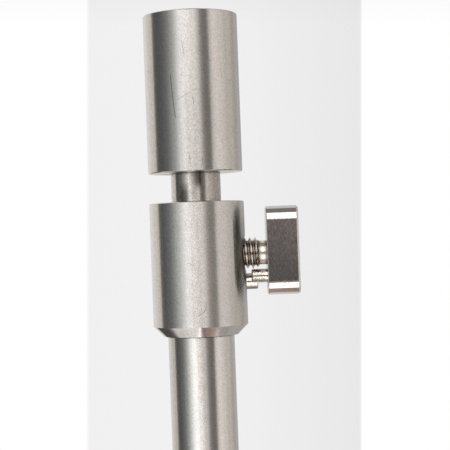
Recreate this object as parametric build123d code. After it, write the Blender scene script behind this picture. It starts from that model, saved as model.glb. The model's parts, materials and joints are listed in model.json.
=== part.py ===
"""Telescopic stainless ground stake (bank stick) with a thumbscrew lock, as separate pieces.

+Z runs up the pole. The origin is on the pole's axis at the ground line, where the outer tube ends and
the ground point begins. The thumbscrew stands out along +X. Units are millimetres.
The stake is drawn a little way out of its closed length, with the thumbscrew slack.
"""

from build123d import *
from math import ceil, cos, pi, radians, tan
import os

# Lengths along the pole
CLOSED_LENGTH = 228.6
POINT_LENGTH = 50.0
HEAD_LENGTH = 38.05
COLLAR_LENGTH = 32.05
HEAD_GAP = 7.2  # how far the head is drawn up off the collar

# Diameters
OUTER_TUBE_D = 16.0
OUTER_TUBE_WALL = 1.5
INNER_TUBE_D = 12.0
INNER_TUBE_WALL = 1.5
HEAD_D = 22.8
COLLAR_D = 22.9

# Fits, all radial
RUNNING = 0.05
BOND_GAP = 0.02
THREAD_PLAY = 0.06
FACE_GAP = 0.05
EDGE_BREAK = 0.3
CRISP_EDGE = 0.15  # smaller edge break of the head and the collar

# Collar
COLLAR_CHAMFER = 2.4
COLLAR_SOCKET_DEPTH = 14.0
SPIGOT_STEP = 0.3  # the outer tube is turned down by this radius inside the collar
SHOULDER_GAP = 0.12  # glue line between the outer tube's shoulder and the collar
SEAL_SECTION_R = 0.7
SEAL_GROOVE_R = 7.5
SEAL_GROOVE_HEIGHT = 2.0
SEAL_DROP = 2.2  # from the collar's top to the seal groove

# Thumbscrew, measured outwards from the pole's axis
SCREW_DROP = 12.68  # from the collar's top to the screw's axis
SCREW_D = 7.5
SCREW_PITCH = 1.25
STUD_TIP_X = 8.45
STUD_TIP_CHAMFER = 0.7
THREAD_END_X = 14.65
THREAD_END_CHAMFER = 0.6
SCREW_MOUTH_R = 4.5  # countersink at the collar's surface
KNOB_FACE_X = 16.5
NECK_D = 5.8
TAIL_D = 5.0
TAIL_LENGTH = 5.2
KNOB_LENGTH = 21.25
KNOB_OFFSET = 0.5  # the knob is bored this far off its middle
KNOB_WIDTH = 13.0  # its depth along Y
KNOB_THICKNESS = 7.7
KNOB_CORNER_R = 3.3
KNOB_OUTER_CHAMFER = 0.45
KNOB_INNER_CHAMFER = 0.2
STOP_PIN_D = 3.85
STOP_PIN_EDGE = 0.2
STOP_SCREW_D = 3.55
STOP_SCREW_PITCH = 0.35
STOP_SCREW_RADIUS = 5.56  # from the screw's axis to the knob's stop screw
STOP_SCREW_TIP_X = 12.7
STOP_SCREW_DEPTH = 3.5
STOP_SCREW_KEY = 1.8  # hexagon socket, across its flats
STOP_SCREW_KEY_DEPTH = 1.6
STOP_SCREW_CHAMFER = 0.3
COLLAR_PIN_Y = 3.47
COLLAR_PIN_DROP = 6.93  # below the screw's axis
COLLAR_PIN_FOOT_X = 8.4
COLLAR_PIN_TIP_X = 14.25

# Clamp pad
SCREW_TURN_DEG = 270.0
PAD_D = 5.2
PAD_SPIGOT_D = 3.0
PAD_SPIGOT_LENGTH = 2.6
PAD_CONTACT_GAP = 0.03  # left when the screw is tight

# Head thread, 3/8 inch at 20 threads to the inch. Its flanks are steeper than the standard
# 55 degrees, which leaves a wide enough land at the tapping size.
HEAD_THREAD_PITCH = 1.27
HEAD_THREAD_MINOR_R = 4.15
HEAD_THREAD_MAJOR_R = 4.76
HEAD_THREAD_ANGLE = 40.0
HEAD_THREAD_ROOT_FLAT = 0.06
HEAD_THREAD_TURNS = 11
HEAD_THREAD_DEPTH = 18.0
HEAD_MOUTH_R = 4.91  # countersink at the head's top
DRILL_POINT_DEG = 118.0
HEAD_SOCKET_DEPTH = 15.0

# Foot
FOOT_INSERT_LENGTH = 18.0
POINT_THREAD_D = 8.0
POINT_THREAD_START = 1.0
POINT_STUD_LENGTH = 12.0
POINT_SHOULDER_D = 15.4
POINT_SHOULDER_LENGTH = 6.0
POINT_SHOULDER_TAPER = 1.2
POINT_FLATS = 13.0
POINT_FLATS_HEIGHT = 4.0
POINT_NECK_R = 6.2
POINT_TIP_R = 0.9
WASHER_THICKNESS = 0.8
WASHER_D = 15.0

# Guide on the inner tube's lower end
CLOSED_FOOT_CLEARANCE = 4.0
JOURNAL_R = 4.0
JOURNAL_LENGTH = 8.2
RING_GROOVE_R = 3.5
RING_GROOVE_LENGTH = 0.9
PLUG_NOSE_LENGTH = 1.3
PLUG_SPIGOT_LENGTH = 10.0
RING_WIDTH = 1.65
RING_OPENING = 2.4
AIR_GROOVE_R = 0.9
AIR_GROOVES = 3

# Places worked out from the driving dimensions
collar_top = CLOSED_LENGTH - POINT_LENGTH - HEAD_LENGTH
collar_bottom = collar_top - COLLAR_LENGTH
collar_shoulder = collar_bottom + COLLAR_SOCKET_DEPTH
head_bottom = collar_top + HEAD_GAP
head_top = head_bottom + HEAD_LENGTH
screw_z = collar_top - SCREW_DROP
outer_bore_r = OUTER_TUBE_D / 2 - OUTER_TUBE_WALL
inner_r = INNER_TUBE_D / 2
inner_bore_r = inner_r - INNER_TUBE_WALL
spigot_r = OUTER_TUBE_D / 2 - SPIGOT_STEP
plug_drop = JOURNAL_LENGTH + RING_GROOVE_LENGTH + PLUG_NOSE_LENGTH
inner_foot = FOOT_INSERT_LENGTH + CLOSED_FOOT_CLEARANCE + plug_drop + HEAD_GAP
screw_travel = SCREW_PITCH * SCREW_TURN_DEG / 360
collar_bore_r = inner_r + 1.5 * RUNNING
screw_frame = Location(Plane(origin=(0, 0, screw_z), x_dir=(0, 1, 0), z_dir=(1, 0, 0)))

UP_FROM_BASE = (Align.CENTER, Align.CENTER, Align.MIN)


def turned(*points):
    """A lathe-turned solid: a closed outline of (radius, height) points spun about +Z."""
    outline = Plane.XZ * Polygon(*points, align=None)
    return revolve(outline, Axis.Z)


def rod(radius, low, high, edge=0.0):
    """A round bar along +Z, with both ends chamfered by edge."""
    if not edge:
        return turned((0, low), (radius, low), (radius, high), (0, high))
    return turned(
        (0, low), (radius - edge, low), (radius, low + edge),
        (radius, high - edge), (radius - edge, high), (0, high),
    )


def at(x, y, solid):
    """The solid moved sideways."""
    return Pos(x, y, 0) * solid


def thread_ridge(foot_r, crest_r, crest_width, pitch, start, turns, angle=60):
    """A right-hand V ridge wound round +Z, with its foot sunk a little into the bar it stands on."""
    sink = min(0.1, pitch / 12)
    path = Helix(pitch, turns * pitch, foot_r, center=(0, 0, start))
    half_crest = crest_width / 2
    half_foot = half_crest + (crest_r - foot_r + sink) * tan(radians(angle / 2))
    tooth = Plane(origin=path @ 0, x_dir=(1, 0, 0), z_dir=path % 0) * Polygon(
        (-sink, -half_foot), (crest_r - foot_r, -half_crest),
        (crest_r - foot_r, half_crest), (-sink, half_foot), align=None,
    )
    return sweep(tooth, path=path, is_frenet=True)


def root_radius(diameter, pitch):
    """Root radius of a 60 degree outside thread."""
    return diameter / 2 - 0.6134 * pitch


def threaded_bar(diameter, pitch, low, high, low_chamfer, high_chamfer):
    """A bar with a 60 degree right-hand thread that passes +X at its low end."""
    root_r = root_radius(diameter, pitch)
    crest_r = diameter / 2
    turns = int((high - low) / pitch) + 2.6
    core = rod(root_r, low - 2 * pitch, high + 2 * pitch)
    bar = core + thread_ridge(root_r, crest_r, pitch / 8, pitch, low - pitch, turns)
    skin = crest_r + 0.01
    envelope = turned(
        (0, low), (skin - low_chamfer, low), (skin, low + low_chamfer),
        (skin, high - high_chamfer), (skin - high_chamfer, high), (0, high),
    )
    return bar & envelope


def tap(diameter, pitch, in_step_with, low, high):
    """Cutter for the matching inside thread, with play all round, in step with a bar's low end."""
    half_angle = radians(30)
    bore_r = root_radius(diameter, pitch) + 2 * THREAD_PLAY
    crest_r = diameter / 2 + THREAD_PLAY
    crest_width = pitch / 8 + 2 * THREAD_PLAY * (1 / cos(half_angle) - tan(half_angle))
    start = in_step_with - pitch * ceil((in_step_with - low) / pitch)
    turns = int((high - start) / pitch) + 1.6
    return rod(bore_r, low, high) + thread_ridge(bore_r, crest_r, crest_width, pitch, start, turns)


def make_head():
    """Top boss with the accessory thread above and the inner tube's socket below."""
    hole_floor = head_top - HEAD_THREAD_DEPTH
    socket_r = inner_r + BOND_GAP
    r = HEAD_D / 2
    body = turned(
        (0, head_top), (r - CRISP_EDGE, head_top), (r, head_top - CRISP_EDGE),
        (r, head_bottom + CRISP_EDGE), (r - CRISP_EDGE, head_bottom),
        (socket_r + EDGE_BREAK, head_bottom), (socket_r, head_bottom + EDGE_BREAK),
        (socket_r, head_bottom + HEAD_SOCKET_DEPTH), (0, head_bottom + HEAD_SOCKET_DEPTH),
    )
    drill = turned(
        (0, hole_floor - HEAD_THREAD_MINOR_R / tan(radians(DRILL_POINT_DEG / 2))),
        (HEAD_THREAD_MINOR_R, hole_floor), (HEAD_THREAD_MINOR_R, head_top + 2), (0, head_top + 2),
    )
    groove = thread_ridge(
        HEAD_THREAD_MINOR_R, HEAD_THREAD_MAJOR_R, HEAD_THREAD_ROOT_FLAT, HEAD_THREAD_PITCH,
        head_top - HEAD_THREAD_TURNS * HEAD_THREAD_PITCH, HEAD_THREAD_TURNS + 1.4,
        HEAD_THREAD_ANGLE,
    )
    mouth = turned((0, head_top - HEAD_MOUTH_R), (HEAD_MOUTH_R + 1, head_top + 1), (0, head_top + 1))
    return body - (drill + groove) - mouth


def make_inner_tube():
    """Sliding stage, bonded in the head."""
    top = head_bottom + HEAD_SOCKET_DEPTH - FACE_GAP
    return turned(
        (inner_bore_r, inner_foot), (inner_r, inner_foot), (inner_r, top - EDGE_BREAK),
        (inner_r - EDGE_BREAK, top), (inner_bore_r, top),
    )


def make_inner_plug():
    """Plug bonded in the inner tube's lower end. Its journal carries the guide bush."""
    spigot_r_in = inner_bore_r - BOND_GAP
    groove_top = inner_foot - JOURNAL_LENGTH
    groove_low = groove_top - RING_GROOVE_LENGTH
    nose = groove_low - PLUG_NOSE_LENGTH
    return turned(
        (0, nose), (JOURNAL_R - EDGE_BREAK, nose), (JOURNAL_R, nose + EDGE_BREAK),
        (JOURNAL_R, groove_low), (RING_GROOVE_R, groove_low), (RING_GROOVE_R, groove_top),
        (JOURNAL_R, groove_top), (JOURNAL_R, inner_foot), (spigot_r_in, inner_foot),
        (spigot_r_in, inner_foot + PLUG_SPIGOT_LENGTH - EDGE_BREAK),
        (spigot_r_in - EDGE_BREAK, inner_foot + PLUG_SPIGOT_LENGTH),
        (0, inner_foot + PLUG_SPIGOT_LENGTH),
    )


def make_guide_bush():
    """Plastic bush that guides the inner stage in the outer tube and stops it coming out."""
    r = outer_bore_r - RUNNING
    bore = JOURNAL_R + RUNNING
    low = inner_foot - JOURNAL_LENGTH + FACE_GAP
    high = inner_foot - FACE_GAP
    bush = turned(
        (bore, low), (r - EDGE_BREAK, low), (r, low + EDGE_BREAK),
        (r, high - EDGE_BREAK), (r - EDGE_BREAK, high), (bore, high),
    )
    for n in range(AIR_GROOVES):
        groove = at(r, 0, rod(AIR_GROOVE_R, low - 1, high + 1))
        bush -= Rot(0, 0, 360 * n / AIR_GROOVES) * groove
    return bush


def make_retaining_ring():
    """Open snap ring in the plug's groove, under the bush."""
    low = inner_foot - JOURNAL_LENGTH - RING_GROOVE_LENGTH + FACE_GAP
    high = inner_foot - JOURNAL_LENGTH - FACE_GAP
    bore = RING_GROOVE_R + RUNNING
    outside = bore + RING_WIDTH
    ring = turned((bore, low), (outside, low), (outside, high), (bore, high))
    gap = Pos(outside, 0, (low + high) / 2) * Box(2 * outside, RING_OPENING, 4)
    return ring - gap


def make_collar():
    """Locking collar bonded on the outer tube, with the screw hole, stop-pin hole and seal groove."""
    r = COLLAR_D / 2
    socket_r = spigot_r + BOND_GAP
    seal_top = collar_top - SEAL_DROP
    seal_low = seal_top - SEAL_GROOVE_HEIGHT
    collar = turned(
        (socket_r, collar_bottom), (r - COLLAR_CHAMFER, collar_bottom),
        (r, collar_bottom + COLLAR_CHAMFER), (r, collar_top - CRISP_EDGE),
        (r - CRISP_EDGE, collar_top), (collar_bore_r + EDGE_BREAK, collar_top),
        (collar_bore_r, collar_top - EDGE_BREAK), (collar_bore_r, seal_top),
        (SEAL_GROOVE_R, seal_top), (SEAL_GROOVE_R, seal_low), (collar_bore_r, seal_low),
        (collar_bore_r, collar_shoulder), (socket_r, collar_shoulder),
    )
    screw_hole = tap(SCREW_D, SCREW_PITCH, STUD_TIP_X, collar_bore_r - 1.5, r + 1)
    mouth = turned((0, r - SCREW_MOUTH_R), (SCREW_MOUTH_R, r), (SCREW_MOUTH_R, r + 1), (0, r + 1))
    pin_hole = rod(STOP_PIN_D / 2 + 0.01, COLLAR_PIN_FOOT_X - FACE_GAP, r + 1)
    pin_hole = at(COLLAR_PIN_Y, -COLLAR_PIN_DROP, pin_hole)
    return collar - screw_frame * screw_hole - screw_frame * mouth - screw_frame * pin_hole


def make_collar_seal():
    """O-ring in the collar's bore that keeps grit out and the inner tube quiet."""
    centre_r = inner_r + SEAL_SECTION_R + RUNNING / 2
    height = collar_top - SEAL_DROP - SEAL_GROOVE_HEIGHT / 2
    return Pos(0, 0, height) * Torus(centre_r, SEAL_SECTION_R)


def make_outer_tube():
    """Lower stage, turned down at the top to fit in the collar."""
    r = OUTER_TUBE_D / 2
    top = collar_shoulder - FACE_GAP
    shoulder = collar_bottom - SHOULDER_GAP
    return turned(
        (outer_bore_r, 0), (r, 0), (r, shoulder), (spigot_r, shoulder),
        (spigot_r, top - EDGE_BREAK), (spigot_r - EDGE_BREAK, top), (outer_bore_r, top),
    )


def make_foot_insert():
    """Threaded bush bonded in the outer tube's lower end."""
    r = outer_bore_r - BOND_GAP
    bush = rod(r, 0, FOOT_INSERT_LENGTH, EDGE_BREAK)
    return bush - tap(POINT_THREAD_D, SCREW_PITCH, 0, -1, FOOT_INSERT_LENGTH + 1)


def make_ground_point():
    """Screw-in ground point with two spanner flats on its shoulder."""
    r = POINT_SHOULDER_D / 2
    shoulder_top = -WASHER_THICKNESS - FACE_GAP
    shoulder_low = shoulder_top - POINT_SHOULDER_LENGTH
    tip = -POINT_LENGTH
    body = turned(
        (0, shoulder_top), (r - EDGE_BREAK, shoulder_top), (r, shoulder_top - EDGE_BREAK),
        (r, shoulder_low + EDGE_BREAK), (r - EDGE_BREAK, shoulder_low),
        (POINT_NECK_R, shoulder_low - POINT_SHOULDER_TAPER), (POINT_TIP_R, tip + POINT_TIP_R), (0, tip),
    )
    for side in (1, -1):
        cut_height = shoulder_top - POINT_SHOULDER_LENGTH / 2
        body -= Pos(side * (POINT_FLATS / 2 + 5), 0, cut_height) * Box(10, 30, POINT_FLATS_HEIGHT)
    root_r = root_radius(POINT_THREAD_D, SCREW_PITCH)
    shank = rod(root_r - 0.1, shoulder_top - 1, POINT_THREAD_START + 0.5)
    stud = threaded_bar(POINT_THREAD_D, SCREW_PITCH, POINT_THREAD_START, POINT_STUD_LENGTH, 0.4, 0.8)
    # its thread starts above the insert's, so it is turned round by as much
    in_step = Rot(0, 0, 360 * POINT_THREAD_START / SCREW_PITCH)
    return body + shank + in_step * stud


def make_point_washer():
    """Flat washer between the outer tube and the ground point."""
    bore = POINT_THREAD_D / 2 + 0.2
    low = -WASHER_THICKNESS
    return turned((bore, low), (WASHER_D / 2, low), (WASHER_D / 2, -FACE_GAP), (bore, -FACE_GAP))


def make_thumbscrew_stud():
    """Right-hand stud: threaded end, plain neck and a tail bonded in the knob."""
    bar = threaded_bar(
        SCREW_D, SCREW_PITCH, STUD_TIP_X, THREAD_END_X, STUD_TIP_CHAMFER, THREAD_END_CHAMFER
    )
    neck = rod(NECK_D / 2, THREAD_END_X - 0.5, KNOB_FACE_X)
    tail = rod(TAIL_D / 2, KNOB_FACE_X - 0.5, KNOB_FACE_X + TAIL_LENGTH, EDGE_BREAK)
    socket_end = STUD_TIP_X + PAD_SPIGOT_LENGTH + 0.2
    socket = rod(PAD_SPIGOT_D / 2 + RUNNING, STUD_TIP_X - 1, socket_end)
    return screw_frame * (bar + neck + tail - socket)


def make_clamp_pad():
    """Brass pad that swivels in the stud's tip. Its saddle fits the inner tube, so it doesn't turn."""
    back = STUD_TIP_X - FACE_GAP
    saddle_r = inner_r + BOND_GAP
    pad = rod(PAD_D / 2, inner_r - 1, back) + rod(PAD_SPIGOT_D / 2, back - 0.5, back + PAD_SPIGOT_LENGTH)
    saddle_x = screw_travel + PAD_CONTACT_GAP
    saddle = Pos(saddle_x, 0, screw_z) * Cylinder(saddle_r, 3 * PAD_D)
    return screw_frame * pad - saddle


def make_thumbscrew_knob():
    """Block knob with rounded corners, bored for the stud's tail and the stop screw."""
    outline = Pos(0, KNOB_OFFSET, 0) * RectangleRounded(KNOB_WIDTH, KNOB_LENGTH, KNOB_CORNER_R)
    knob = Pos(0, 0, KNOB_FACE_X) * extrude(outline, KNOB_THICKNESS)
    faces = knob.faces().sort_by(Axis.Z)
    knob = chamfer(faces[-1].edges(), KNOB_OUTER_CHAMFER)
    inner_face = knob.faces().sort_by(Axis.Z)[0]
    knob = chamfer(inner_face.edges(), KNOB_INNER_CHAMFER)
    knob -= rod(TAIL_D / 2 + 0.01, KNOB_FACE_X - 1, KNOB_FACE_X + TAIL_LENGTH + 0.1)
    stop_hole = rod(STOP_SCREW_D / 2 + 0.01, KNOB_FACE_X - 1, KNOB_FACE_X + STOP_SCREW_DEPTH + 0.1)
    knob -= at(0, -STOP_SCREW_RADIUS, stop_hole)
    return screw_frame * knob


def make_knob_stop_screw():
    """Grub screw in the knob. It meets the collar's dowel, so the thumbscrew can't be undone and lost."""
    tip = STOP_SCREW_TIP_X
    end = KNOB_FACE_X + STOP_SCREW_DEPTH
    screw = threaded_bar(
        STOP_SCREW_D, STOP_SCREW_PITCH, tip, end, STOP_SCREW_CHAMFER, STOP_SCREW_CHAMFER
    )
    hexagon = RegularPolygon(STOP_SCREW_KEY / 2, 6, major_radius=False)
    key = Pos(0, 0, tip) * extrude(hexagon, STOP_SCREW_KEY_DEPTH)
    return screw_frame * at(0, -STOP_SCREW_RADIUS, screw - key)


def make_collar_stop_pin():
    """Dowel in the collar, beside and just below the knob's stop screw."""
    pin = rod(STOP_PIN_D / 2, COLLAR_PIN_FOOT_X, COLLAR_PIN_TIP_X, STOP_PIN_EDGE)
    return screw_frame * at(COLLAR_PIN_Y, -COLLAR_PIN_DROP, pin)


PARTS = {
    "head": make_head,
    "inner_tube": make_inner_tube,
    "inner_plug": make_inner_plug,
    "guide_bush": make_guide_bush,
    "retaining_ring": make_retaining_ring,
    "collar": make_collar,
    "collar_seal": make_collar_seal,
    "collar_stop_pin": make_collar_stop_pin,
    "outer_tube": make_outer_tube,
    "foot_insert": make_foot_insert,
    "ground_point": make_ground_point,
    "point_washer": make_point_washer,
    "thumbscrew_stud": make_thumbscrew_stud,
    "thumbscrew_knob": make_thumbscrew_knob,
    "knob_stop_screw": make_knob_stop_screw,
    "clamp_pad": make_clamp_pad,
}

os.makedirs("parts", exist_ok=True)
for name, make in PARTS.items():
    export_step(make(), f"parts/{name}.step")

print("screw lead, mm per radian:", round(SCREW_PITCH / (2 * pi), 6))
print("screw travel:", round(screw_travel, 4), "stroke up:", round(collar_shoulder - inner_foot, 3))
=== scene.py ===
"""Looks for the telescopic ground stake: satin stainless materials, studio light and camera."""

import json
import math

import bpy
from mathutils import Matrix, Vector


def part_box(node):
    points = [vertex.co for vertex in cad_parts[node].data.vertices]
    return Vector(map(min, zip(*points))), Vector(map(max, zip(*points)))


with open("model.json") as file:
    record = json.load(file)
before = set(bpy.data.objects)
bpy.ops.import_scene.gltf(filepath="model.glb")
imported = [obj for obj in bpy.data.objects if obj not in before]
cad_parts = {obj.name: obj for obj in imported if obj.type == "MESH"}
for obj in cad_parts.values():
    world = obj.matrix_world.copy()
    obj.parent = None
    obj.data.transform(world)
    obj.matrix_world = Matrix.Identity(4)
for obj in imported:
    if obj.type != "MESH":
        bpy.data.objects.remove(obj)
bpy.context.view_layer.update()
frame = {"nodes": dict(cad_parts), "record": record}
nodes = frame["nodes"]
MM = 0.001

# Places and radii in the frame, in metres
head_low, head_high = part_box("head")
collar_low, collar_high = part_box("collar")
stud_low, stud_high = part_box("thumbscrew_stud")
knob_low, knob_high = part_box("thumbscrew_knob")
screw_z = (stud_low.z + stud_high.z) / 2
tip_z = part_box("ground_point")[0].z


def radius(node):
    """Radius of a round piece that stands on the pole's axis."""
    low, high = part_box(node)
    return (high.y - low.y) / 2


head_r, collar_r, tube_r, neck_r = map(radius, ("head", "collar", "outer_tube", "inner_tube"))


def linear(level):
    """Scene-linear value of an 8-bit display level."""
    c = level / 255
    return c / 12.92 if c <= 0.04045 else ((c + 0.055) / 1.055) ** 2.4


class Graph:
    """A small helper that builds a node tree from left to right."""

    def __init__(self, tree):
        self.tree = tree
        tree.nodes.clear()

    def add(self, kind, settings=None, **inputs):
        """Adds a node. settings are its properties, inputs are its sockets by name or by number as _0, _1."""
        node = self.tree.nodes.new(kind)
        for name, value in (settings or {}).items():
            setattr(node, name, value)
        for name, value in inputs.items():
            key = int(name[1:]) if name[0] == "_" and name[1:].isdigit() else name.replace("_", " ")
            self.put(node.inputs[key], value)
        return node

    def put(self, socket, value):
        """Links an output to the socket, or sets the socket's value."""
        if isinstance(value, bpy.types.NodeSocket):
            self.tree.links.new(value, socket)
        else:
            socket.default_value = value

    def math(self, operation, a, b=0.0, c=0.0, clamp=False):
        """One math node's result."""
        made = self.add("ShaderNodeMath", {"operation": operation, "use_clamp": clamp}, _0=a, _1=b, _2=c)
        return made.outputs[0]

    def vector(self, operation, a, b=(0, 0, 0), scale=1.0):
        """One vector math node's result."""
        made = self.add("ShaderNodeVectorMath", {"operation": operation}, _0=a, _1=b, _3=scale)
        return made.outputs["Value" if operation in ("DOT_PRODUCT", "LENGTH") else "Vector"]

    def ramp(self, factor, stops, interpolation="LINEAR"):
        """A colour ramp's colour. stops are (place, colour) from left to right."""
        made = self.add("ShaderNodeValToRGB", _0=factor)
        band = made.color_ramp
        band.interpolation = interpolation
        band.elements[0].position, band.elements[0].color = stops[0][0], rgba(stops[0][1])
        band.elements[1].position, band.elements[1].color = stops[-1][0], rgba(stops[-1][1])
        for place, colour in stops[1:-1]:
            band.elements.new(place).color = rgba(colour)
        return made.outputs["Color"]

    def mix(self, factor, a, b, blend="MIX"):
        """Mixes two colours."""
        made = self.add("ShaderNodeMix", {"data_type": "RGBA", "blend_type": blend})
        self.put(made.inputs["Factor"], factor)
        self.put(made.inputs[6], a)
        self.put(made.inputs[7], b)
        return made.outputs[2]

    def remap(self, value, low, high, to_low, to_high):
        """A clamped linear remap."""
        made = self.add("ShaderNodeMapRange", _0=value, _1=low, _2=high, _3=to_low, _4=to_high)
        return made.outputs[0]

    def window(self, value, rise, fall):
        """1 between two soft edges and 0 outside them. Each edge is (start, end)."""
        return self.math("MULTIPLY", self.remap(value, *rise, 0.0, 1.0), self.remap(value, *fall, 1.0, 0.0))


def rgba(colour):
    """Four channels from a grey value or three channels."""
    if isinstance(colour, (int, float)):
        colour = (colour, colour, colour)
    return (*colour, 1.0) if len(colour) == 3 else tuple(colour)


# Studio: what a polished upright bar sees at each azimuth, in display levels of the bar.
# Azimuth 0 is towards the camera and +90 towards +X.
BAR_REFLECTANCE = 0.66
STUDIO = (
    (-180, (182, 179, 176)), (-165, (189, 187, 184)), (-150, (198, 196, 194)), (-140, (196, 192, 190)),
    (-130, (193, 188, 185)), (-122, (188, 182, 176)), (-113, (179, 173, 162)), (-108, (170, 165, 153)),
    (-104, (78, 77, 73)), (-97, (71, 71, 71)), (-90, (73, 73, 75)), (-80, (84, 85, 85)),
    (-70, (98, 99, 98)), (-60, (126, 127, 123)), (-50, (157, 157, 154)), (-40, (192, 191, 188)),
    (-30, (214, 213, 211)), (-20, (224, 221, 219)), (-10, (222, 217, 214)), (0, (208, 203, 199)),
    (10, (188, 184, 180)), (16, (173, 168, 165)), (21, (152, 146, 142)), (26, (121, 115, 111)),
    (33, (109, 104, 100)), (40, (104, 99, 96)), (44, (111, 106, 101)), (47, (171, 166, 162)),
    (55, (196, 190, 184)), (65, (200, 192, 187)), (80, (187, 181, 174)), (95, (172, 165, 158)),
    (110, (171, 165, 156)), (120, (155, 148, 143)), (130, (148, 143, 137)), (140, (160, 155, 151)),
    (150, (152, 149, 146)), (165, (146, 144, 143)), (180, (182, 179, 176)),
)
# The same below, by how far the direction leans to +X.
NADIR = (
    (-0.62, (84, 80, 78)), (-0.48, (96, 92, 90)), (-0.40, (198, 194, 190)), (-0.2, (200, 195, 190)),
    (-0.03, (199, 194, 189)), (0.01, (146, 127, 119)), (0.06, (122, 104, 98)), (0.26, (132, 114, 108)),
    (0.37, (176, 168, 161)), (0.7, (180, 172, 165)),
)
# The dark slit that the camera looks through, by the sine of the direction's elevation
SLIT = (
    (-0.27, (0.30, 0.25, 0.21)), (-0.16, (0.20, 0.165, 0.14)), (-0.06, (0.10, 0.085, 0.075)),
    (-0.036, (0.034, 0.034, 0.034)), (-0.024, (0.060, 0.064, 0.065)), (-0.01, (0.102, 0.100, 0.099)),
    (0.0, (0.138, 0.124, 0.12)), (0.013, (0.180, 0.140, 0.131)), (0.14, (0.20, 0.165, 0.145)),
)
SLIT_EDGES = ((-0.31, -0.27), (0.14, 0.18))
# Bright panels above and below the slit, and their sides in degrees from the back
SLIT_PANEL_GAIN = 1.9
SLIT_PANEL_SIDES = ((138, 166), (184, 204))
# Dark card low down behind the stake on its left
LOW_CARD = (0.085, 0.075, 0.070)
LOW_CARD_SIDES = ((18, 22), (47, 50))
LOW_CARD_TOP = (-0.40, -0.30)
# Dark ceiling panel, which hangs a little forward of the stake
OVERHEAD = (0.20, 0.188, 0.18)
OVERHEAD_EDGE = (0.905, 0.945)
OVERHEAD_FORWARD = 0.157
NADIR_EDGE = (-0.93, -0.89)

# Backdrop behind the stake, by place across the picture, in display levels
# its fall to the right is painted shade
PAPER = (
    (0.1942, 255), (0.1962, 240), (0.40, 241), (0.555, 239), (0.62, 237), (0.70, 235), (0.80, 232),
    (0.8005, 232), (0.803, 255),
)


def studio_colour(levels):
    """World colour that the bar reflects as these display levels."""
    return tuple(linear(v) / BAR_REFLECTANCE for v in levels)


def turn_shares(edges):
    """Edges in degrees as shares of a turn."""
    return [(start / 360, end / 360) for start, end in edges]


def studio_ring(g, xyz):
    """Light round the pole by azimuth, with the azimuth as a share of a turn from 0 at the back."""
    turn = g.math("ARCTAN2", xyz[0], g.math("MULTIPLY", xyz[1], -1.0))
    share = g.math("MULTIPLY_ADD", turn, 1 / (2 * math.pi), 0.5)
    # a colour ramp holds at most 32 stops, so the pattern is held in two halves
    halves = []
    for inside in (lambda a: a <= 0, lambda a: a >= 0):
        stops = [((a + 180) / 360, studio_colour(c)) for a, c in STUDIO if inside(a)]
        halves.append(g.ramp(share, stops))
    ring = g.mix(g.math("GREATER_THAN", share, 0.5), *halves)
    card = g.window(share, *turn_shares(LOW_CARD_SIDES))
    card = g.math("MULTIPLY", card, g.remap(xyz[2], *LOW_CARD_TOP, 1.0, 0.0))
    return share, g.mix(card, ring, rgba(LOW_CARD))


def build_backdrop(g):
    """Pale grey paper behind the stake, with painted shade that makes it a little darker to the right and
    towards the top, and white at either side.
    """
    window = g.add("ShaderNodeSeparateXYZ", _0=g.add("ShaderNodeTexCoord").outputs["Window"]).outputs
    paper = g.ramp(window[0], [(x, linear(v)) for x, v in PAPER])
    # painted shade towards the top edge
    edge = g.remap(window[1], 0.94, 1.0, 1.0, 0.965)
    return g.vector("SCALE", paper, scale=edge)


def build_world():
    """Soft studio that reflections see, with a plain pale backdrop for the camera itself."""
    world = bpy.data.worlds.new("studio")
    world.use_nodes = True
    bpy.context.scene.world = world
    g = Graph(world.node_tree)
    ray = g.add("ShaderNodeTexCoord").outputs["Generated"]
    xyz = g.add("ShaderNodeSeparateXYZ", _0=ray).outputs
    share, ring = studio_ring(g, xyz)
    height = xyz[2]
    front = g.window(share, *turn_shares(SLIT_PANEL_SIDES))
    panel = g.mix(front, rgba(1.0), rgba(SLIT_PANEL_GAIN))
    ring = g.mix(1.0, ring, panel, "MULTIPLY")
    slit = g.ramp(g.math("MULTIPLY_ADD", height, 0.5, 0.5), [((z + 1) / 2, c) for z, c in SLIT])
    level = g.window(height, *SLIT_EDGES)
    ring = g.mix(g.math("MULTIPLY", front, level), ring, slit)
    rise = g.math("MULTIPLY_ADD", xyz[1], -OVERHEAD_FORWARD, height)
    above = g.mix(g.remap(rise, *OVERHEAD_EDGE, 0.0, 1.0), ring, rgba(OVERHEAD))
    lean = g.math("MULTIPLY_ADD", xyz[0], 0.5, 0.5)
    nadir = g.ramp(lean, [((x + 1) / 2, studio_colour(c)) for x, c in NADIR])
    lit = g.mix(g.remap(height, *NADIR_EDGE, 1.0, 0.0), above, nadir)
    seen = g.add("ShaderNodeLightPath").outputs["Is Camera Ray"]
    colour = g.mix(seen, lit, build_backdrop(g))
    background = g.add("ShaderNodeBackground", Color=colour, Strength=1.0)
    g.add("ShaderNodeOutputWorld", Surface=background.outputs[0])


def local_place(g):
    """Point in the frame at rest, in metres. It moves with the piece."""
    return g.add("ShaderNodeTexCoord").outputs["Object"]


def stretched(g, place, scale):
    """The place scaled by a different amount along each axis."""
    return g.vector("MULTIPLY", place, scale)


def noise(g, place, size, detail=3.0, roughness=0.5):
    """Noise with features about size metres across."""
    made = g.add(
        "ShaderNodeTexNoise", Vector=place, Scale=1.0 / size, Detail=detail, Roughness=roughness
    )
    return made.outputs["Fac"]


def across_turning(g, axis, centre):
    """Direction across the marks that a lathe leaves: along the bar on its side, outwards on its end."""
    geometry = g.add("ShaderNodeNewGeometry").outputs
    out = g.vector("SUBTRACT", geometry["Position"], centre)
    around = g.vector("CROSS_PRODUCT", axis, out)
    return g.vector("CROSS_PRODUCT", geometry["Normal"], around)


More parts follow.
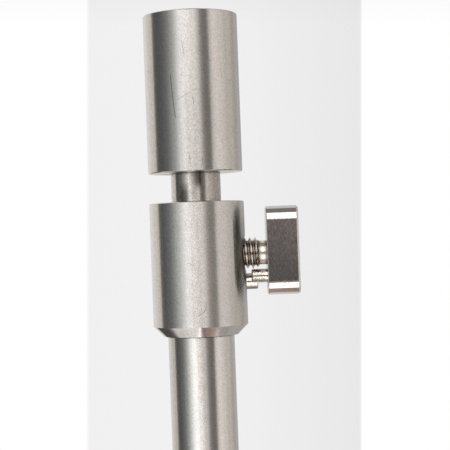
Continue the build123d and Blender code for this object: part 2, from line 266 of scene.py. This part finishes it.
def hairlines(g, place, seed, share):
    """Fine stray scratches, 1 on a scratch: short curved stretches of cell borders."""
    shifted = g.vector("ADD", place, (0.37 * seed, 0.11 * seed, 0.23 * seed))
    bend = g.add("ShaderNodeTexNoise", Vector=shifted, Scale=1 / (6 * MM), Detail=1.0).outputs["Color"]
    bent = g.vector("ADD", stretched(g, shifted, (1, 1, 0.5)), g.vector("SCALE", bend, scale=6 * MM))
    settings = {"feature": "DISTANCE_TO_EDGE"}
    border = g.add("ShaderNodeTexVoronoi", settings, Vector=bent, Scale=1 / (5 * MM)).outputs["Distance"]
    line = g.remap(border, 0.006, 0.016, 1.0, 0.0)
    patch = noise(g, g.vector("ADD", shifted, (1.7, 0.4, 0.9)), 5 * MM, detail=1.0)
    kept = g.remap(patch, 0.60 - share, 0.68 - share, 0.0, 1.0)
    return g.math("MULTIPLY", line, kept)


def scratch(g, place, start, end, bow, depth):
    """Tone of one fine scratch on the front from start to end, each (x, z), bowed aside by bow metres."""
    run, climb = end[0] - start[0], end[1] - start[1]
    length = math.hypot(run, climb)
    x, y, z = g.add("ShaderNodeSeparateXYZ", _0=place).outputs
    dx, dz = g.math("SUBTRACT", x, start[0]), g.math("SUBTRACT", z, start[1])
    along = g.math("MULTIPLY_ADD", dx, run / length**2, g.math("MULTIPLY", dz, climb / length**2))
    aside = g.math("MULTIPLY_ADD", dx, -climb / length, g.math("MULTIPLY", dz, run / length))
    # 0 at both ends of the scratch and a quarter halfway
    inside = g.math("MULTIPLY", along, g.math("SUBTRACT", 1.0, along))
    off = g.math("ABSOLUTE", g.math("MULTIPLY_ADD", inside, -4 * bow, aside))
    line = g.remap(off, 0.04 * MM, 0.11 * MM, 1.0, 0.0)
    line = g.math("MULTIPLY", line, g.remap(inside, 0.0, 0.06, 0.0, depth))
    return g.math("SUBTRACT", 1.0, g.math("MULTIPLY", line, g.math("LESS_THAN", y, 0.0)))


def scratches(g, place, top, strokes):
    """Tone of several scratches. Each is two (x, drop below top) in mm, its bow in mm and its depth."""
    tone = 1.0
    for *ends, bow, depth in strokes:
        start, end = [(x * MM, top - drop * MM) for x, drop in ends]
        tone = g.math("MULTIPLY", tone, scratch(g, place, start, end, bow * MM, depth))
    return tone


def specks(g, place, seed, share):
    """Small pits, 1 in a pit."""
    shifted = g.vector("ADD", place, (0.19 * seed, 0.41 * seed, 0.07 * seed))
    made = g.add("ShaderNodeTexVoronoi", Vector=shifted, Scale=1 / (1.7 * MM)).outputs
    dot = g.remap(made["Distance"], 0.05, 0.12, 1.0, 0.0)
    chance = g.add("ShaderNodeSeparateXYZ", _0=made["Color"]).outputs[0]
    return g.math("MULTIPLY", dot, g.math("LESS_THAN", chance, share))


def joint_shade(g, place, height, reach, strength):
    """Painted shade that darkens towards a joint line at one height along the pole, 1 away from it."""
    z = g.add("ShaderNodeSeparateXYZ", _0=place).outputs[2]
    off = g.math("ABSOLUTE", g.math("SUBTRACT", z, height))
    ragged = g.math("MULTIPLY", noise(g, place, 0.5 * MM), 2 * reach)
    near = g.remap(g.math("SUBTRACT", off, ragged), -reach * 0.4, reach * 0.4, 1.0, 0.0)
    return g.math("MULTIPLY_ADD", near, -strength, 1.0)


def painted_neck_shade(g, place, middle, reach):
    """Painted shade in two dark patches about a height: one low on the left, one high right of the middle."""
    x, _, z = g.add("ShaderNodeSeparateXYZ", _0=place).outputs
    rise = g.math("DIVIDE", g.math("SUBTRACT", z, middle), reach)
    rise = g.math("ADD", rise, g.math("MULTIPLY_ADD", noise(g, place, 3 * MM), 0.3, -0.15))
    left = g.window(x, (-4.1 * MM, -3.3 * MM), (-2.3 * MM, -1.3 * MM))
    left = g.math("MULTIPLY", left, g.remap(rise, -0.3, 0.4, 0.62, 0.0))
    right = g.window(x, (-1.4 * MM, 0.4 * MM), (1.2 * MM, 1.7 * MM))
    right = g.math("MULTIPLY", right, g.remap(rise, -0.4, 0.35, 0.0, 0.80))
    return g.math("SUBTRACT", 1.0, g.math("ADD", left, right))


def thread_shade(g, place, root_r, crest_r, low, high):
    """Painted shade on the stud: darker towards the thread's root, and at both ends of the neck from low to
    high.
    """
    x, y, z = g.add("ShaderNodeSeparateXYZ", _0=place).outputs
    up = g.math("SUBTRACT", z, screw_z)
    r = g.math("SQRT", g.math("ADD", g.math("MULTIPLY", y, y), g.math("MULTIPLY", up, up)))
    thread = g.remap(r, root_r, crest_r, 0.32, 0.85)
    middle = g.math("ABSOLUTE", g.math("SUBTRACT", x, (low + high) / 2))
    neck = g.remap(middle, (high - low) * 0.1, (high - low) * 0.5, 1.0, 0.2)
    return g.mix(g.math("GREATER_THAN", x, low), thread, neck)


def shaded_inner_face(g, place, start):
    """Painted shade on the face that ends at this place along X: darker and duller, like a face turned but
    not polished, so that it throws less light onto the collar beside it.
    """
    x = g.add("ShaderNodeSeparateXYZ", _0=place).outputs[0]
    return g.remap(x, start + 0.02 * MM, start + 0.25 * MM, 0.82, 1.0)


def beside_knob(g, place, reach):
    """Tone of the collar's side facing the knob, which its light does not reach as well."""
    x, _, z = g.add("ShaderNodeSeparateXYZ", _0=place).outputs
    side = g.remap(x, reach * 0.73, reach * 0.86, 0.0, 1.0)
    off = g.math("ABSOLUTE", g.math("SUBTRACT", z, screw_z))
    level = g.remap(off, (knob_high.z - knob_low.z) * 0.32, (knob_high.z - knob_low.z) * 0.56, 1.0, 0.0)
    return g.math("MULTIPLY_ADD", g.math("MULTIPLY", side, level), -0.38, 1.0)


def shaded_pin_rims(g, place):
    """Painted shade on a pin's side: darker along its top, and dark along its underside."""
    normal = g.add("ShaderNodeTexCoord").outputs["Normal"]
    up = g.add("ShaderNodeSeparateXYZ", _0=normal).outputs[2]
    return g.math("MULTIPLY", g.remap(up, 0.78, 0.88, 1.0, 0.3), g.remap(up, -0.82, -0.68, 0.3, 1.0))


def brushed_face(g, place):
    """Tone of the knob's front and back, which are brushed coarsely, 1 on its other sides."""
    normal = g.add("ShaderNodeTexCoord").outputs["Normal"]
    facing = g.math("ABSOLUTE", g.add("ShaderNodeSeparateXYZ", _0=normal).outputs[1])
    brushed = stretched(g, place, (1, 1, 0.4))
    fine = g.remap(noise(g, brushed, FINE_GRAIN, detail=2.0), 0.25, 0.75, 0.84, 1.16)
    coarse = g.math("MULTIPLY", fine, g.remap(cells(g, brushed, PITTING), 0.0, 1.0, 0.72, 1.28))
    return g.mix(g.math("GREATER_THAN", facing, 0.9), rgba(1.0), coarse)


def painted_shading_across(g, place, reach, stops):
    """Painted light and shade by place across a bar of this radius, which makes its reflection lighter or
    darker from side to side.
    """
    x = g.add("ShaderNodeSeparateXYZ", _0=place).outputs[0]
    across = g.math("MULTIPLY_ADD", x, 0.5 / reach, 0.5)
    # a ramp holds no tone above 1, so it holds half of each
    half = g.ramp(across, [((t + 1) / 2, tone / 2) for t, tone in stops])
    return g.math("MULTIPLY", half, 2.0)


FINE_GRAIN = 0.36 * MM
PITTING = 0.24 * MM
TURNING_FEED = 0.35 * MM  # from one tool mark to the next


def cells(g, place, size):
    """Random value from 0 to 1 in each small cell, as fine pitting."""
    cell = g.vector("FLOOR", g.vector("SCALE", place, scale=1 / size))
    return g.add("ShaderNodeTexWhiteNoise", {"noise_dimensions": "3D"}, Vector=cell).outputs["Value"]


def polish(g, place, grain, pit_depth):
    """Fine grain, mottle and tone of a polished surface."""
    squat = stretched(g, place, (1, 1, 0.8))
    fine = noise(g, squat, FINE_GRAIN, detail=2.0, roughness=0.6)
    pits = cells(g, squat, PITTING)
    mottle = noise(g, stretched(g, place, (1, 1, 0.6)), 0.9 * MM, detail=2.0)
    streak = noise(g, stretched(g, place, (1, 1, 0.02)), 0.5 * MM, detail=2.0)
    cloud = noise(g, place, 12 * MM, detail=2.0)
    tone = 1.0
    for texture, reach, depth in (
        (fine, 0.25, 0.06 * grain), (pits, 0.5, pit_depth * grain), (mottle, 0.2, 0.025 * grain),
        (streak, 0.2, 0.03 * grain), (cloud, 0.2, 0.02),
    ):
        tone = g.math("MULTIPLY", tone, g.remap(texture, 0.5 - reach, 0.5 + reach, 1 - depth, 1 + depth))
    return fine, mottle, tone


def worn(g, place, tone, height, wear, seed):
    """The tone and height with stray hairlines and pits added."""
    hair = hairlines(g, place, seed, 0.03 * wear - 0.055)
    pit = specks(g, place, seed, 0.05 * wear)
    tone = g.math("MULTIPLY", tone, g.math("MULTIPLY_ADD", hair, -0.3, 1.0))
    tone = g.math("MULTIPLY", tone, g.math("MULTIPLY_ADD", pit, -0.5, 1.0))
    return tone, g.math("SUBTRACT", height, pit)


def cut_slopes(g, axis, rough):
    """Roughness that is lower on chamfers and other slopes, which are cut and not polished over."""
    normal = g.add("ShaderNodeNewGeometry").outputs["True Normal"]
    slope = g.math("ABSOLUTE", g.vector("DOT_PRODUCT", normal, axis))
    slanted = g.window(slope, (0.3, 0.5), (0.9, 0.97))
    return g.math("MULTIPLY", rough, g.math("MULTIPLY_ADD", slanted, -0.62, 1.0))


def steel(
    name, colour, roughness, anisotropy, axis=(0, 0, 1), centre=(0, 0, 0), grain=1.0, wear=0.0,
    pit_depth=0.085, joints=(), seed=1, turned=0.0, tones=(),
):
    """Stainless steel or another metal, turned and polished round an axis.

    wear adds scratches and pits, joints are (height, reach, strength) of painted shade along joint lines,
    turned is the depth of tool marks and tones are (function, arguments) that darken and dull the metal
    further, some of them painted light and shade.
    """
    material = bpy.data.materials.new(name)
    material.use_nodes = True
    g = Graph(material.node_tree)
    place = local_place(g)
    fine, mottle, tone = polish(g, place, grain, pit_depth)
    height = fine
    if wear:
        tone, height = worn(g, place, tone, height, wear, seed)
    for joint in joints:
        tone = g.math("MULTIPLY", tone, joint_shade(g, place, *joint))
    dull = 1.0
    for darken, *places in tones:
        extra = darken(g, place, *places)
        tone = g.math("MULTIPLY", tone, extra)
        dull = g.math("MULTIPLY", dull, g.math("MULTIPLY_ADD", extra, -0.8, 1.8))
    if turned:
        z = g.add("ShaderNodeSeparateXYZ", _0=place).outputs[2]
        mark = g.math("SINE", g.math("MULTIPLY", z, 2 * math.pi / TURNING_FEED))
        height = g.math("MULTIPLY_ADD", mark, turned, height)
    base = g.vector("SCALE", colour, scale=tone)
    rough = g.remap(mottle, 0.3, 0.7, roughness * 0.96, roughness * 1.04)
    rough = cut_slopes(g, axis, rough)
    rough = g.math("MULTIPLY", rough, g.math("MAXIMUM", dull, 1.0))
    bump = g.add("ShaderNodeBump", Strength=0.03 * grain, Distance=0.02 * MM, Height=height)
    shader = g.add(
        "ShaderNodeBsdfPrincipled", Base_Color=base, Metallic=1.0, Roughness=rough,
        Anisotropic=anisotropy, Tangent=across_turning(g, axis, centre), Normal=bump.outputs[0],
    )
    g.add("ShaderNodeOutputMaterial", Surface=shader.outputs[0])
    return material


def plastic(name, colour, roughness):
    """Dark moulded plastic or rubber with a fine dull grain."""
    material = bpy.data.materials.new(name)
    material.use_nodes = True
    g = Graph(material.node_tree)
    place = local_place(g)
    grain = noise(g, place, 0.25 * MM, detail=3.0)
    cloud = noise(g, place, 3 * MM)
    base = g.vector("SCALE", colour, scale=g.remap(cloud, 0.3, 0.7, 0.85, 1.15))
    bump = g.add("ShaderNodeBump", Strength=0.3, Distance=0.01 * MM, Height=grain)
    rough = g.remap(grain, 0.3, 0.7, roughness - 0.05, roughness + 0.08)
    shader = g.add("ShaderNodeBsdfPrincipled", Base_Color=base, Roughness=rough, Normal=bump.outputs[0])
    g.add("ShaderNodeOutputMaterial", Surface=shader.outputs[0])
    return material


SCREW = {"axis": (1, 0, 0), "centre": (0, 0, screw_z)}
# painted shade along the joints: on the tube under the collar, on the neck under the head and above the
# collar
collar_joint = (collar_low.z - 0.06 * MM, 0.16 * MM, 0.75)
head_joint = (head_low.z, 0.35 * MM, 0.5)
neck_joint = (collar_high.z, 0.25 * MM, 0.5)
# painted shade in two patches on the neck between the head and the collar
neck_painted_shade = (painted_neck_shade, (head_low.z + collar_high.z) / 2, (head_low.z - collar_high.z) / 2)
# painted shade in the stud's thread and at the ends of its neck
screw_thread_shade = (thread_shade, 2.95 * MM, 3.75 * MM, stud_low.x + 6.1 * MM, knob_low.x)
# Scratches on the front, as two (x, drop below the top) in mm, the bow in mm and the depth
HEAD_STROKES = (
    ((-4.8, 14.9), (-3.9, 25.7), -0.15, 0.60), ((-3.5, 21.4), (1.5, 18.8), 0.15, 0.40),
    ((-1.9, 7.2), (-1.5, 11.1), 0.05, 0.40), ((0.2, 20.7), (0.4, 22.6), 0.10, 0.50),
    ((-1.1, 33.7), (-0.8, 36.5), 0.0, 0.45),
)
COLLAR_STROKES = (((1.6, 23.75), (-0.8, 26.95), 0.9, 0.55), ((-2.7, 14.5), (-0.7, 15.9), 0.5, 0.35))
# Painted light and shade, by place across the bar from -1 to 1
HEAD_SHADE = (
    (-0.75, 1.0), (-0.5, 0.82), (-0.35, 0.80), (-0.22, 0.93), (0.0, 1.03), (0.13, 1.12), (0.2, 1.15),
    (0.28, 1.0), (0.37, 0.95), (0.5, 1.0),
)
NECK_SHADE = (
    (-0.9, 0.9), (-0.6, 0.95), (-0.4, 1.0), (0.12, 1.0), (0.2, 0.66), (0.27, 0.62), (0.34, 0.9),
    (0.42, 0.86), (0.55, 0.7), (0.8, 0.66), (0.95, 0.8),
)
COLLAR_SHADE = (
    (-0.95, 1.0), (-0.7, 1.1), (-0.45, 1.14), (-0.3, 1.03), (-0.1, 1.17), (0.08, 1.15), (0.17, 1.13),
    (0.25, 1.3), (0.35, 1.25), (0.4, 1.0), (0.5, 0.91), (0.75, 0.93), (0.95, 1.0),
)
TUBE_SHADE = (
    (-0.8, 0.9), (-0.7, 1.0), (-0.5, 1.17), (-0.35, 1.33), (-0.2, 1.42), (-0.08, 1.35), (0.0, 1.18),
    (0.1, 0.92), (0.18, 0.70), (0.26, 0.83), (0.37, 0.89), (0.45, 1.07),
)

MATERIALS = {
    "satin_steel": steel(
        "satin_steel", (0.70, 0.695, 0.685), 0.238, 0.97, wear=1.0, seed=3,
        tones=[(painted_shading_across, head_r, HEAD_SHADE), (scratches, head_high.z, HEAD_STROKES)],
    ),
    "satin_steel_collar": steel(
        "satin_steel_collar", (0.70, 0.695, 0.685), 0.238, 0.97, wear=0.8, seed=8,
        tones=[
            (painted_shading_across, collar_r, COLLAR_SHADE), (beside_knob, collar_r),
            (scratches, collar_high.z, COLLAR_STROKES),
        ],
    ),
    "satin_tube": steel(
        "satin_tube", (0.70, 0.695, 0.685), 0.238, 0.97, wear=0.3, seed=5, joints=[collar_joint],
        tones=[(painted_shading_across, tube_r, TUBE_SHADE)],
    ),
    "bright_tube": steel(
        "bright_tube", (0.74, 0.715, 0.68), 0.20, 0.92, grain=1.8, wear=0.5, seed=6,
        joints=[head_joint, neck_joint], tones=[neck_painted_shade, (painted_shading_across, neck_r, NECK_SHADE)],
    ),
    "satin_knob": steel(
        "satin_knob", (0.82, 0.81, 0.80), 0.11, 0.0, wear=0.5, seed=2, pit_depth=0.05,
        # painted shade on the knob's inner face
        tones=[(shaded_inner_face, knob_low.x), (brushed_face,)],
    ),
    "bright_screw": steel(
        "bright_screw", (0.88, 0.82, 0.74), 0.26, 0.0, grain=2.0, tones=[screw_thread_shade], **SCREW
    ),
    "ground_pin": steel(
        # painted shade along the pin's top and underside
        "ground_pin", (0.86, 0.83, 0.78), 0.17, 0.0, grain=4.0, tones=[(shaded_pin_rims,)], **SCREW
    ),
    "point_steel": steel("point_steel", (0.68, 0.675, 0.665), 0.24, 0.9, wear=0.6, turned=0.35),
    "spring_steel": steel("spring_steel", (0.25, 0.25, 0.26), 0.35, 0.2),
    "turned_aluminium": steel("turned_aluminium", (0.80, 0.80, 0.81), 0.26, 0.8, turned=0.3),
    "pad_brass": steel("pad_brass", (0.80, 0.60, 0.28), 0.25, 0.6, **SCREW),
    "black_acetal": plastic("black_acetal", (0.02, 0.02, 0.022), 0.38),
    "washer_nylon": plastic("washer_nylon", (0.035, 0.035, 0.038), 0.45),
    "seal_rubber": plastic("seal_rubber", (0.018, 0.018, 0.018), 0.55),
}


def dress_nodes():
    """Gives every CAD piece the material of its slot."""
    for part in frame["record"]["subparts"]:
        mesh = nodes[part["node"]].data
        mesh.materials.clear()
        mesh.materials.append(MATERIALS[part["material_slot"]])


FLOOR_R = 0.55
FLOOR_FADE = (0.25, 0.54)


def build_floor():
    """Plain pale disc that fades out towards its edge, and that the steel does not reflect."""
    bpy.ops.mesh.primitive_circle_add(vertices=96, radius=FLOOR_R, fill_type="NGON")
    floor = bpy.context.object
    floor.name = "floor"
    floor.location = (0, 0, tip_z - 0.2 * MM)
    material = bpy.data.materials.new("floor")
    material.use_nodes = True
    g = Graph(material.node_tree)
    place = g.add("ShaderNodeTexCoord").outputs["Object"]
    away = g.vector("LENGTH", place)
    solid = g.remap(away, *FLOOR_FADE, 1.0, 0.0)
    matt = g.add("ShaderNodeBsdfDiffuse", Color=rgba(0.86))
    clear = g.add("ShaderNodeBsdfTransparent")
    shader = g.add("ShaderNodeMixShader", Fac=solid, _1=clear.outputs[0], _2=matt.outputs[0])
    g.add("ShaderNodeOutputMaterial", Surface=shader.outputs[0])
    floor.data.materials.append(material)
    floor.visible_glossy = False


CAMERA_LEAN_DEG = 2.14
CAMERA_TILT_DEG = 0.527  # looking up
CAMERA_HALF_VIEW_DEG = 9.05
CAMERA_SIDE = 6.7 * MM
CAMERA_AWAY = 342 * MM
CAMERA_DROP = 8.85 * MM  # below the collar's top
SENSOR_WIDTH_MM = 36


def build_camera():
    """Long lens, level with the collar, leaning so that the stake leans left."""
    camera = bpy.data.objects.new("camera", bpy.data.cameras.new("camera"))
    bpy.context.scene.collection.objects.link(camera)
    camera.data.sensor_width = SENSOR_WIDTH_MM
    camera.data.lens = SENSOR_WIDTH_MM / 2 / math.tan(math.radians(CAMERA_HALF_VIEW_DEG))
    camera.location = (CAMERA_SIDE, -CAMERA_AWAY, collar_high.z - CAMERA_DROP)
    camera.rotation_mode = "QUATERNION"
    tilt = Matrix.Rotation(math.radians(90 + CAMERA_TILT_DEG), 4, "X")
    lean = Matrix.Rotation(math.radians(-CAMERA_LEAN_DEG), 4, "Z")
    camera.rotation_quaternion = (tilt @ lean).to_quaternion()
    camera.data.clip_start, camera.data.clip_end = 0.01, 10
    bpy.context.scene.camera = camera


build_world()
dress_nodes()
build_floor()
build_camera()
bpy.context.scene.view_settings.view_transform = "Standard"
